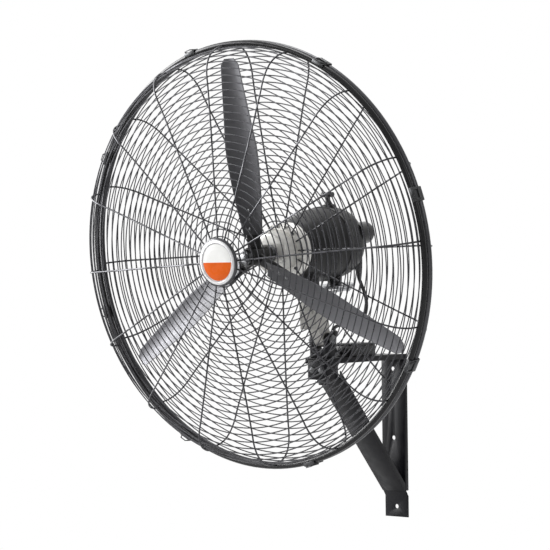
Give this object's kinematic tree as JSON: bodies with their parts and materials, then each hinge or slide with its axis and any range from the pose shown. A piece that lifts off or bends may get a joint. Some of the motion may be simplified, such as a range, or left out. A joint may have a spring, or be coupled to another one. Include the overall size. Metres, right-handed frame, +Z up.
{
  "type": "wall mounted fan",
  "caption": "Wall mounted oscillating fan: triangular steel bracket, tilting neck, motor with gear case, paddle blades and a domed two-part wire guard.",
  "frame": {"origin": "on the wall face, at the foot pad of the bracket's wall channel, 16 mm above its lowest screw hole", "axes": "+Z up, +Y into the wall, the fan blows towards -Y with its guard tipped 6.4 degrees down, +X to the right seen from the front"},
  "size_m": [0.82, 0.5644, 0.9485],
  "materials": {
    "bracket_paint": "satin grey-black powder coat",
    "motor_paint": "satin black paint on cast and pressed metal",
    "guard_wire": "dark grey coated steel wire, semi-gloss",
    "hoop_paint": "grey coated steel, semi-gloss",
    "blade_paint": "dark grey painted pressed metal",
    "cast_metal": "light grey cast metal",
    "zinc_steel": "zinc plated steel",
    "black_plastic": "black moulded plastic, fine grain",
    "cable_jacket": "black flexible jacket",
    "badge_face": "two-tone badge, white over orange",
    "nylon": "off-white bearing plastic"
  },
  "bodies": {
    "bracket": {"wall_channel": "bracket_paint", "top_arm": "bracket_paint", "diagonal_brace": "bracket_paint", "pivot_block": "bracket_paint", "block_bolt_left": "zinc_steel", "block_bolt_right": "zinc_steel", "tilt_fork": "bracket_paint", "tilt_bolt": "zinc_steel", "tilt_nut": "zinc_steel", "fork_nut": "zinc_steel", "junction_box": "black_plastic", "junction_box_lid": "black_plastic", "box_gland": "black_plastic", "supply_gland": "black_plastic", "motor_cable_lower": "cable_jacket"},
    "neck": {"neck_casting": "cast_metal", "swivel_spindle": "zinc_steel", "swivel_washer": "nylon", "link_anchor": "zinc_steel", "cable_clip": "black_plastic", "motor_cable_upper": "cable_jacket"},
    "head": {"shaft_housing": "cast_metal", "front_bearing": "zinc_steel", "front_bell": "motor_paint", "motor_housing": "motor_paint", "gear_case": "motor_paint", "rear_cover": "black_plastic", "capacitor_can": "black_plastic", "motor_gland": "black_plastic", "front_guard": "guard_wire", "rear_guard": "guard_wire", "front_rim_hoop": "hoop_paint", "rear_rim_hoop": "hoop_paint", "guard_ring_plate": "guard_wire", "badge_bezel": "hoop_paint", "badge_plate": "badge_face", "rim_clip_1": "zinc_steel", "rim_clip_2": "zinc_steel", "rim_clip_3": "zinc_steel", "rim_clip_4": "zinc_steel", "rim_clip_5": "zinc_steel", "rim_clip_6": "zinc_steel", "rim_clip_7": "zinc_steel", "rim_clip_8": "zinc_steel"},
    "rotor": {"motor_shaft": "zinc_steel", "blade_hub": "motor_paint", "blade_1": "blade_paint", "blade_2": "blade_paint", "blade_3": "blade_paint", "hub_nut": "zinc_steel"},
    "clutch": {"clutch_knob": "black_plastic"},
    "crank": {"crank_disc": "zinc_steel"},
    "link": {"link_rod": "zinc_steel"}
  },
  "joints": [
    {"name": "tilt", "type": "hinge", "parent": "bracket", "child": "neck", "pos_m": [0, -0.243, 0.3366], "axis": [1, 0, 0], "range_deg": [-15, 15], "deforming": ["motor_cable_lower"]},
    {"name": "oscillation", "type": "hinge", "parent": "neck", "child": "head", "pos_m": [0, -0.27526, 0.42146], "axis": [0, -0.1115, 0.9938], "range_deg": [-45, 45], "deforming": ["motor_cable_upper"]},
    {"name": "blade_spin", "type": "hinge", "parent": "head", "child": "rotor", "pos_m": [0, -0.4633, 0.501], "axis": [0, 0.9938, 0.1115], "continuous": true},
    {"name": "clutch_pull", "type": "slide", "parent": "head", "child": "clutch", "axis": [0, -0.1115, 0.9938], "range_m": [0, 0.006]},
    {"name": "crank_turn", "type": "hinge", "parent": "head", "child": "crank", "pos_m": [0, -0.20107, 0.44186], "axis": [0, -0.1115, 0.9938], "range_deg": [-45, 45]},
    {"name": "link_swing", "type": "hinge", "parent": "crank", "child": "link", "pos_m": [0.032, -0.20052, 0.43689], "axis": [0, -0.1115, 0.9938], "range_deg": [-45, 45]}
  ],
  "couplings": [
    {"joint": "crank_turn", "follows": "oscillation", "ratio": -1},
    {"joint": "link_swing", "follows": "oscillation", "ratio": 1}
  ]
}
